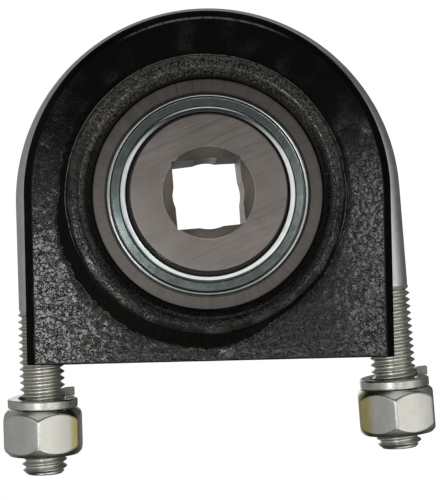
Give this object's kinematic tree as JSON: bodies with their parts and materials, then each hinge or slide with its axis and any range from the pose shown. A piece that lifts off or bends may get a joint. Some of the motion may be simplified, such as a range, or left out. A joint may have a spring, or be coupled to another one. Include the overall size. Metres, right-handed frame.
{
  "type": "flange mount bearing",
  "caption": "Sealed square-bore ball bearing in a black D-shaped cast housing, clamped by a zinc U-bolt with lock washers and hex nuts.",
  "frame": {"origin": "middle of the housing's flat base, which rests on the frame plate; the bearing's centre is 56.3 mm above it", "axes": "+Y along the bearing axis from the front face to the back face, +Z from the flat base up to the top of the arch, +X to the right seen from the front"},
  "size_m": [0.1496, 0.0364, 0.1589],
  "materials": {
    "black_paint": "gloss black paint over coarse sand-cast iron",
    "ground_steel": "ground bearing steel, warm grey, fine grinding lines",
    "ball_steel": "polished bearing steel",
    "pressed_steel": "pressed bright steel",
    "zinc_shield": "zinc plated, smooth, blue-green grey",
    "black_rubber": "moulded nitrile rubber, matt",
    "zinc_rod": "zinc plated drawn bar, satin blue-grey",
    "zinc_hardware": "bright zinc plating, faint yellow tint"
  },
  "bodies": {
    "housing": {"housing": "black_paint", "outer_ring": "ground_steel", "shield_front": "zinc_shield", "shield_back": "zinc_shield", "seal_front": "black_rubber", "seal_back": "black_rubber"},
    "inner_ring": {"inner_ring": "ground_steel"},
    "cage": {"cage_front_half": "pressed_steel", "cage_back_half": "pressed_steel", "cage_rivet_1": "pressed_steel", "cage_rivet_2": "pressed_steel", "cage_rivet_3": "pressed_steel", "cage_rivet_4": "pressed_steel", "cage_rivet_5": "pressed_steel", "cage_rivet_6": "pressed_steel", "cage_rivet_7": "pressed_steel", "cage_rivet_8": "pressed_steel", "cage_rivet_9": "pressed_steel"},
    "ball_1": {"ball_1": "ball_steel"},
    "ball_2": {"ball_2": "ball_steel"},
    "ball_3": {"ball_3": "ball_steel"},
    "ball_4": {"ball_4": "ball_steel"},
    "ball_5": {"ball_5": "ball_steel"},
    "ball_6": {"ball_6": "ball_steel"},
    "ball_7": {"ball_7": "ball_steel"},
    "ball_8": {"ball_8": "ball_steel"},
    "ball_9": {"ball_9": "ball_steel"},
    "u_bolt": {"u_bolt": "zinc_rod"},
    "lock_washer_left": {"lock_washer_left": "zinc_hardware"},
    "hex_nut_left": {"hex_nut_left": "zinc_hardware"},
    "lock_washer_right": {"lock_washer_right": "zinc_hardware"},
    "hex_nut_right": {"hex_nut_right": "zinc_hardware"}
  },
  "joints": [
    {"name": "inner_ring_spin", "type": "hinge", "parent": "housing", "child": "inner_ring", "pos_m": [0, 0, 0.0563], "axis": [0, 1, 0], "continuous": true},
    {"name": "cage_spin", "type": "hinge", "parent": "housing", "child": "cage", "pos_m": [0, 0, 0.0563], "axis": [0, 1, 0], "continuous": true},
    {"name": "ball_1_roll", "type": "hinge", "parent": "cage", "child": "ball_1", "pos_m": [0, 0, 0.0863], "axis": [0, 1, 0], "continuous": true},
    {"name": "ball_2_roll", "type": "hinge", "parent": "cage", "child": "ball_2", "pos_m": [-0.01928, 0, 0.07928], "axis": [0, 1, 0], "continuous": true},
    {"name": "ball_3_roll", "type": "hinge", "parent": "cage", "child": "ball_3", "pos_m": [-0.02954, 0, 0.06151], "axis": [0, 1, 0], "continuous": true},
    {"name": "ball_4_roll", "type": "hinge", "parent": "cage", "child": "ball_4", "pos_m": [-0.02598, 0, 0.0413], "axis": [0, 1, 0], "continuous": true},
    {"name": "ball_5_roll", "type": "hinge", "parent": "cage", "child": "ball_5", "pos_m": [-0.01026, 0, 0.02811], "axis": [0, 1, 0], "continuous": true},
    {"name": "ball_6_roll", "type": "hinge", "parent": "cage", "child": "ball_6", "pos_m": [0.01026, 0, 0.02811], "axis": [0, 1, 0], "continuous": true},
    {"name": "ball_7_roll", "type": "hinge", "parent": "cage", "child": "ball_7", "pos_m": [0.02598, 0, 0.0413], "axis": [0, 1, 0], "continuous": true},
    {"name": "ball_8_roll", "type": "hinge", "parent": "cage", "child": "ball_8", "pos_m": [0.02954, 0, 0.06151], "axis": [0, 1, 0], "continuous": true},
    {"name": "ball_9_roll", "type": "hinge", "parent": "cage", "child": "ball_9", "pos_m": [0.01928, 0, 0.07928], "axis": [0, 1, 0], "continuous": true},
    {"name": "u_bolt_lift", "type": "slide", "parent": "housing", "child": "u_bolt", "axis": [0, 0, 1], "range_m": [0, 0.002]},
    {"name": "lock_washer_left_travel", "type": "slide", "parent": "u_bolt", "child": "lock_washer_left", "axis": [-0.0087, 0, 1], "range_m": [-0.00582, 0.00466]},
    {"name": "hex_nut_left_turn", "type": "hinge", "parent": "lock_washer_left", "child": "hex_nut_left", "pos_m": [-0.05797, 0, -0.02346], "axis": [-0.0087, 0, 1], "range_deg": [-900, 720]},
    {"name": "lock_washer_right_travel", "type": "slide", "parent": "u_bolt", "child": "lock_washer_right", "axis": [-0.0576, 0, 0.9983], "range_m": [-0.00466, 0.00236]},
    {"name": "hex_nut_right_turn", "type": "hinge", "parent": "lock_washer_right", "child": "hex_nut_right", "pos_m": [0.06403, 0, -0.01942], "axis": [-0.0576, 0, 0.9983], "range_deg": [-720, 360]}
  ],
  "couplings": [
    {"joint": "cage_spin", "follows": "inner_ring_spin", "ratio": 0.40078},
    {"joint": "ball_1_roll", "follows": "inner_ring_spin", "ratio": -2.4205},
    {"joint": "ball_2_roll", "follows": "inner_ring_spin", "ratio": -2.4205},
    {"joint": "ball_3_roll", "follows": "inner_ring_spin", "ratio": -2.4205},
    {"joint": "ball_4_roll", "follows": "inner_ring_spin", "ratio": -2.4205},
    {"joint": "ball_5_roll", "follows": "inner_ring_spin", "ratio": -2.4205},
    {"joint": "ball_6_roll", "follows": "inner_ring_spin", "ratio": -2.4205},
    {"joint": "ball_7_roll", "follows": "inner_ring_spin", "ratio": -2.4205},
    {"joint": "ball_8_roll", "follows": "inner_ring_spin", "ratio": -2.4205},
    {"joint": "ball_9_roll", "follows": "inner_ring_spin", "ratio": -2.4205},
    {"joint": "lock_washer_left_travel", "follows": "hex_nut_left_turn", "m_per_rad": 0.0003675},
    {"joint": "lock_washer_right_travel", "follows": "hex_nut_right_turn", "m_per_rad": 0.0003675}
  ]
}
